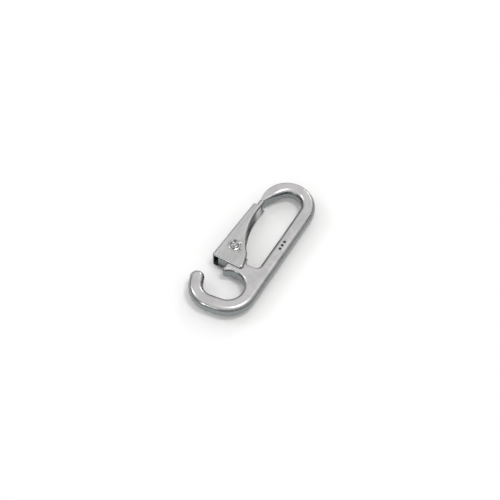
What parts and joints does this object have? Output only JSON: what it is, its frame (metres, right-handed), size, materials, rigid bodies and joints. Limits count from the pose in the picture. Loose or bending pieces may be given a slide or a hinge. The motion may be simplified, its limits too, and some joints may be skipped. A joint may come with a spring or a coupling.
{
  "type": "eye hook with latch",
  "caption": "Small flat hook with an open eye at one end and a sprung, sheet-metal latch across the throat, for joining a ring or line to a load.",
  "frame": {"origin": "centre of the open eye, halfway through the thickness of the bar", "axes": "+Y along the hook from the eye to the bow, +X towards the outer side of the spine, +Z out of the front face along the eye's axis"},
  "size_m": [0.0287, 0.0711, 0.0098],
  "materials": {
    "hook_steel": "tumbled satin stainless",
    "gate_steel": "satin stainless sheet",
    "rivet_steel": "bright, staked",
    "spring_steel": "drawn wire"
  },
  "bodies": {
    "hook": {"hook_body": "hook_steel", "torsion_spring": "spring_steel"},
    "gate": {"gate": "gate_steel", "pivot_rivet": "rivet_steel"}
  },
  "joints": [
    {"name": "gate_pivot", "type": "hinge", "parent": "hook", "child": "gate", "pos_m": [-0.0069, 0.01715, 0], "axis": [0, 0, -1], "range_deg": [0, 30], "stiffness_Nm_per_rad": 0.03, "springref_deg": -28.65, "deforming": ["torsion_spring"]}
  ]
}
